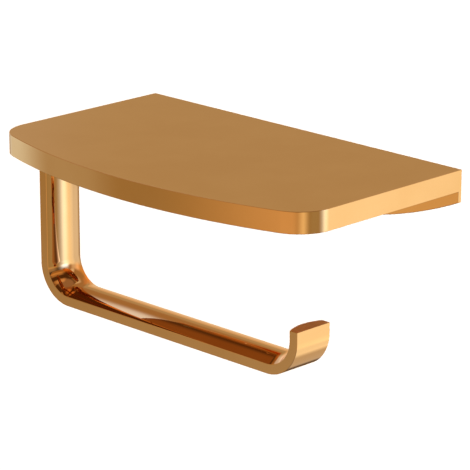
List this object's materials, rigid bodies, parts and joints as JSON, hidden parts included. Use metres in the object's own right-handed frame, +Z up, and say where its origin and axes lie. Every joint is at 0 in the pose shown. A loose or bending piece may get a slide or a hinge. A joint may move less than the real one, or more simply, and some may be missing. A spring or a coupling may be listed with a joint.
{
  "type": "toilet paper holder with shelf",
  "caption": "Wall-mounted toilet paper holder: a flat shelf with a bowed front and a wall flange, over an open J-shaped roll arm with an upturned hook.",
  "frame": {"origin": "midway between the two wall-screw holes, on the plane of the wall", "axes": "+X along the shelf's width to the right, towards the arm's hook; +Y into the wall; +Z up"},
  "size_m": [0.18, 0.1064, 0.0791],
  "materials": {
    "rose_gold": "polished rose gold plating",
    "stainless_steel": "plain stainless steel"
  },
  "bodies": {
    "root": {"shelf_shell": "rose_gold", "base_plate": "rose_gold", "roll_arm": "rose_gold", "arm_mounting_plate": "stainless_steel", "arm_screw_front": "stainless_steel", "arm_screw_rear": "stainless_steel", "mounting_plate_screw_1": "stainless_steel", "mounting_plate_screw_2": "stainless_steel", "mounting_plate_screw_3": "stainless_steel", "mounting_plate_screw_4": "stainless_steel", "base_plate_screw_1": "stainless_steel", "base_plate_screw_2": "stainless_steel", "base_plate_screw_3": "stainless_steel", "base_plate_screw_4": "stainless_steel", "base_plate_screw_5": "stainless_steel", "base_plate_screw_6": "stainless_steel"}
  },
  "joints": []
}
